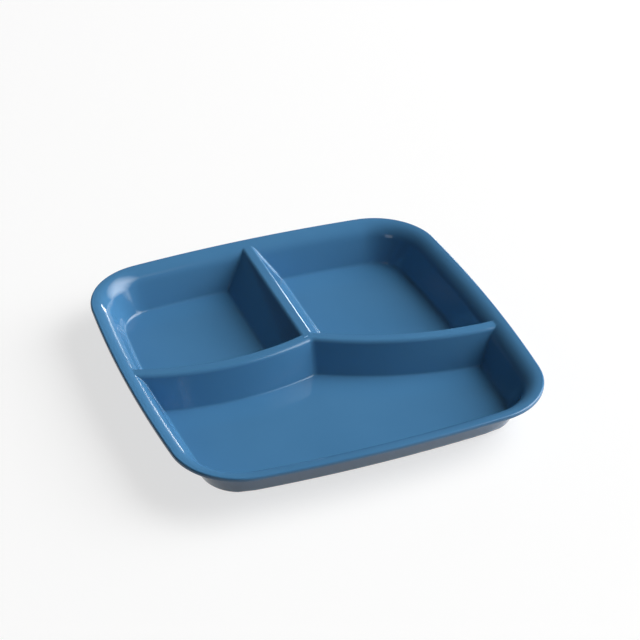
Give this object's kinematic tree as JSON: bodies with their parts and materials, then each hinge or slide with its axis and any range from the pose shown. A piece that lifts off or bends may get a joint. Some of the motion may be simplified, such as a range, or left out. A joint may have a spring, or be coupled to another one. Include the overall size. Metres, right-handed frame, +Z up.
{
  "type": "divided plate",
  "caption": "Square glossy plate with rounded corners, bowed sides and raised dividers that part it into a wide front compartment and two at the back.",
  "frame": {"origin": "middle of the plate on the surface it rests on", "axes": "+Z up, +X to the right and +Y to the back, where the two smaller compartments are"},
  "size_m": [0.23, 0.23, 0.0265],
  "materials": {
    "plastic": "glossy mid blue"
  },
  "bodies": {
    "root": {"rim_lip": "plastic", "side_wall": "plastic", "front_floor": "plastic", "back_left_floor": "plastic", "back_right_floor": "plastic", "left_divider": "plastic", "right_divider": "plastic", "back_divider": "plastic", "front_foot": "plastic", "back_left_foot": "plastic", "back_right_foot": "plastic"}
  },
  "joints": []
}
